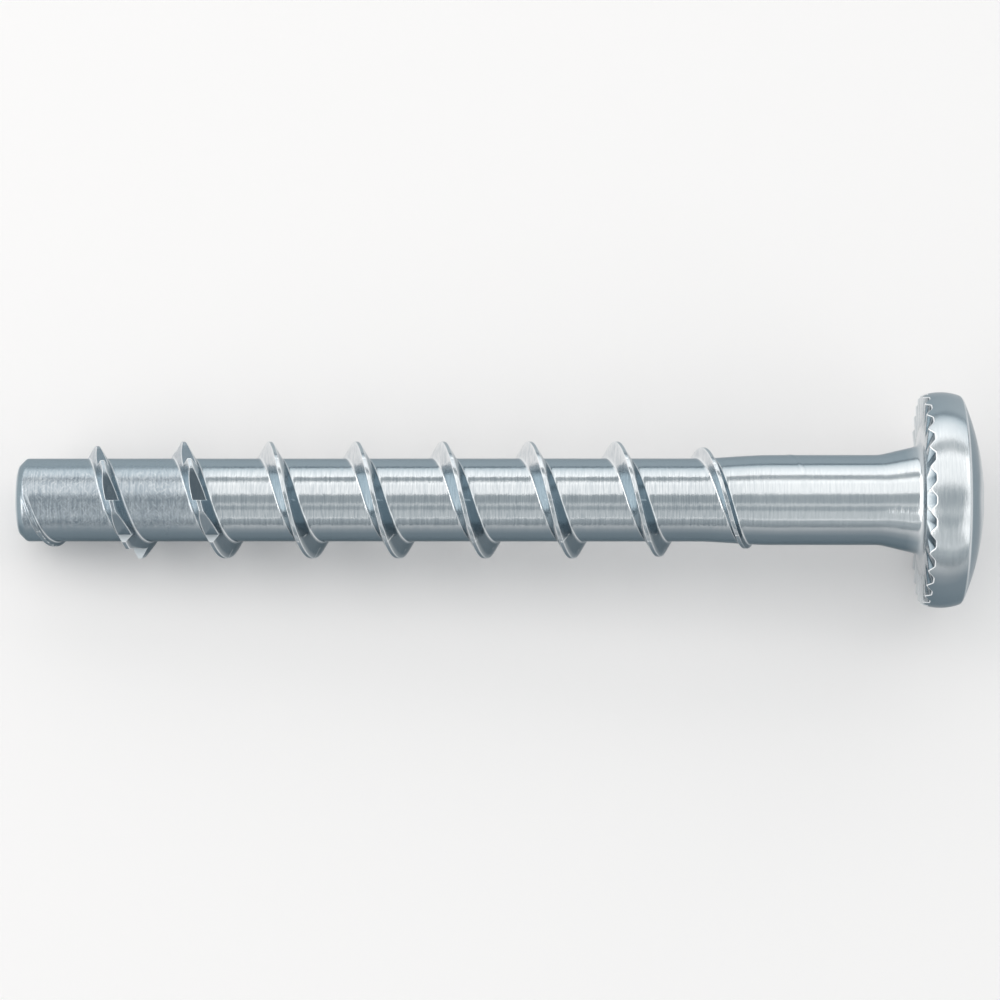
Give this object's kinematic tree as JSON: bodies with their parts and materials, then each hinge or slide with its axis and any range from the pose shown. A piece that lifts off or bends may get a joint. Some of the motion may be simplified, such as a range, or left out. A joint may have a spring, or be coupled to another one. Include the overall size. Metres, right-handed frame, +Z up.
{
  "type": "concrete screw",
  "caption": "Zinc-plated concrete screw with a pan head, lobed drive recess, ribbed underside and a coarse self-cutting thread with a saw-toothed start.",
  "frame": {"origin": "on the surface the screw lies on, below the middle of its bounding box", "axes": "+Z up; +X along the screw towards its head, with the screw's axis rising 3.8 degrees towards the head because the head is wider than the thread; +Y across it"},
  "size_m": [0.0642, 0.0144, 0.0143],
  "materials": {
    "zinc_plated_steel": "bright blue-white zinc plating on hardened carbon steel, semi-gloss, fine drawing marks round the shank and rim"
  },
  "bodies": {
    "root": {"screw": "zinc_plated_steel"}
  },
  "joints": []
}
